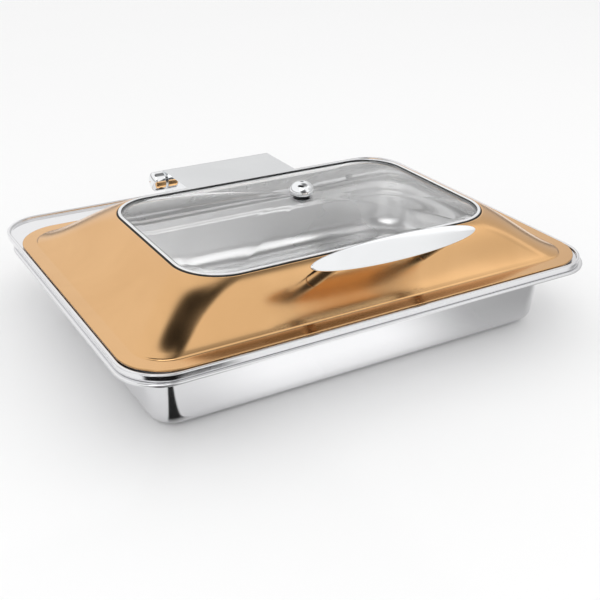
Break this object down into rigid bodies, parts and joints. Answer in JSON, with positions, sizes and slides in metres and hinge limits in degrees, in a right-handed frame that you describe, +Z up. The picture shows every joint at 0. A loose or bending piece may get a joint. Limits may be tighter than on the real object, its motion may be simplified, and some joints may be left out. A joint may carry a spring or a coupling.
{
  "type": "hinged lid chafer",
  "caption": "Rectangular chafing dish: rear-hinged rose-gold lid with domed glass window and blade handle, over a frame, food pan and deep water pan.",
  "frame": {"origin": "on the flat face that the chafer stands on, straight below the middle of the lid", "axes": "+X to the right along the length, +Y from the handle to the hinge, +Z up"},
  "size_m": [0.596, 0.452, 0.1795],
  "materials": {
    "rose_gold": "polished rose-gold coating on stainless sheet",
    "chrome_trim": "bright chrome",
    "mirror_steel": "mirror-polished stainless",
    "satin_steel": "satin stainless",
    "zinc_steel": "zinc-plated",
    "black_rubber": "matt black silicone",
    "clear_glass": "clear tempered glass",
    "damper_black": "moulded black"
  },
  "bodies": {
    "base": {"induction_plate": "satin_steel", "water_pan": "mirror_steel", "top_frame": "mirror_steel", "food_pan": "satin_steel", "hinge_bracket": "satin_steel", "hinge_shaft": "satin_steel", "shaft_bush_left": "damper_black", "shaft_bush_right": "damper_black", "damper_left": "damper_black", "damper_right": "damper_black", "shaft_circlip": "zinc_steel", "hinge_knob": "chrome_trim", "bracket_screw_1": "zinc_steel", "bracket_screw_2": "zinc_steel", "bracket_screw_3": "zinc_steel", "bracket_screw_4": "zinc_steel", "bracket_nut_1": "zinc_steel", "bracket_nut_2": "zinc_steel", "bracket_nut_3": "zinc_steel", "bracket_nut_4": "zinc_steel"},
    "lid": {"lid_shell": "rose_gold", "window_gasket": "black_rubber", "window_ring": "mirror_steel", "window_glass": "clear_glass", "vent_grommet": "black_rubber", "vent_cap": "chrome_trim", "vent_nut": "zinc_steel", "handle_blade": "chrome_trim", "handle_post_left": "chrome_trim", "handle_post_right": "chrome_trim", "handle_washer_left": "zinc_steel", "handle_washer_right": "zinc_steel", "handle_screw_left": "zinc_steel", "handle_screw_right": "zinc_steel", "hinge_arm": "satin_steel", "hinge_cover": "chrome_trim", "arm_screw_1": "zinc_steel", "arm_screw_2": "zinc_steel", "arm_screw_3": "zinc_steel", "arm_screw_4": "zinc_steel", "arm_nut_1": "zinc_steel", "arm_nut_2": "zinc_steel", "arm_nut_3": "zinc_steel", "arm_nut_4": "zinc_steel", "cover_screw_left": "zinc_steel", "cover_screw_right": "zinc_steel", "cover_nut_left": "zinc_steel", "cover_nut_right": "zinc_steel", "lid_bumper_1": "black_rubber", "lid_bumper_2": "black_rubber", "lid_bumper_3": "black_rubber", "lid_bumper_4": "black_rubber"}
  },
  "joints": [
    {"name": "lid_hinge", "type": "hinge", "parent": "base", "child": "lid", "pos_m": [0, 0.216, 0.124], "axis": [-1, 0, 0], "range_deg": [0, 90]}
  ]
}
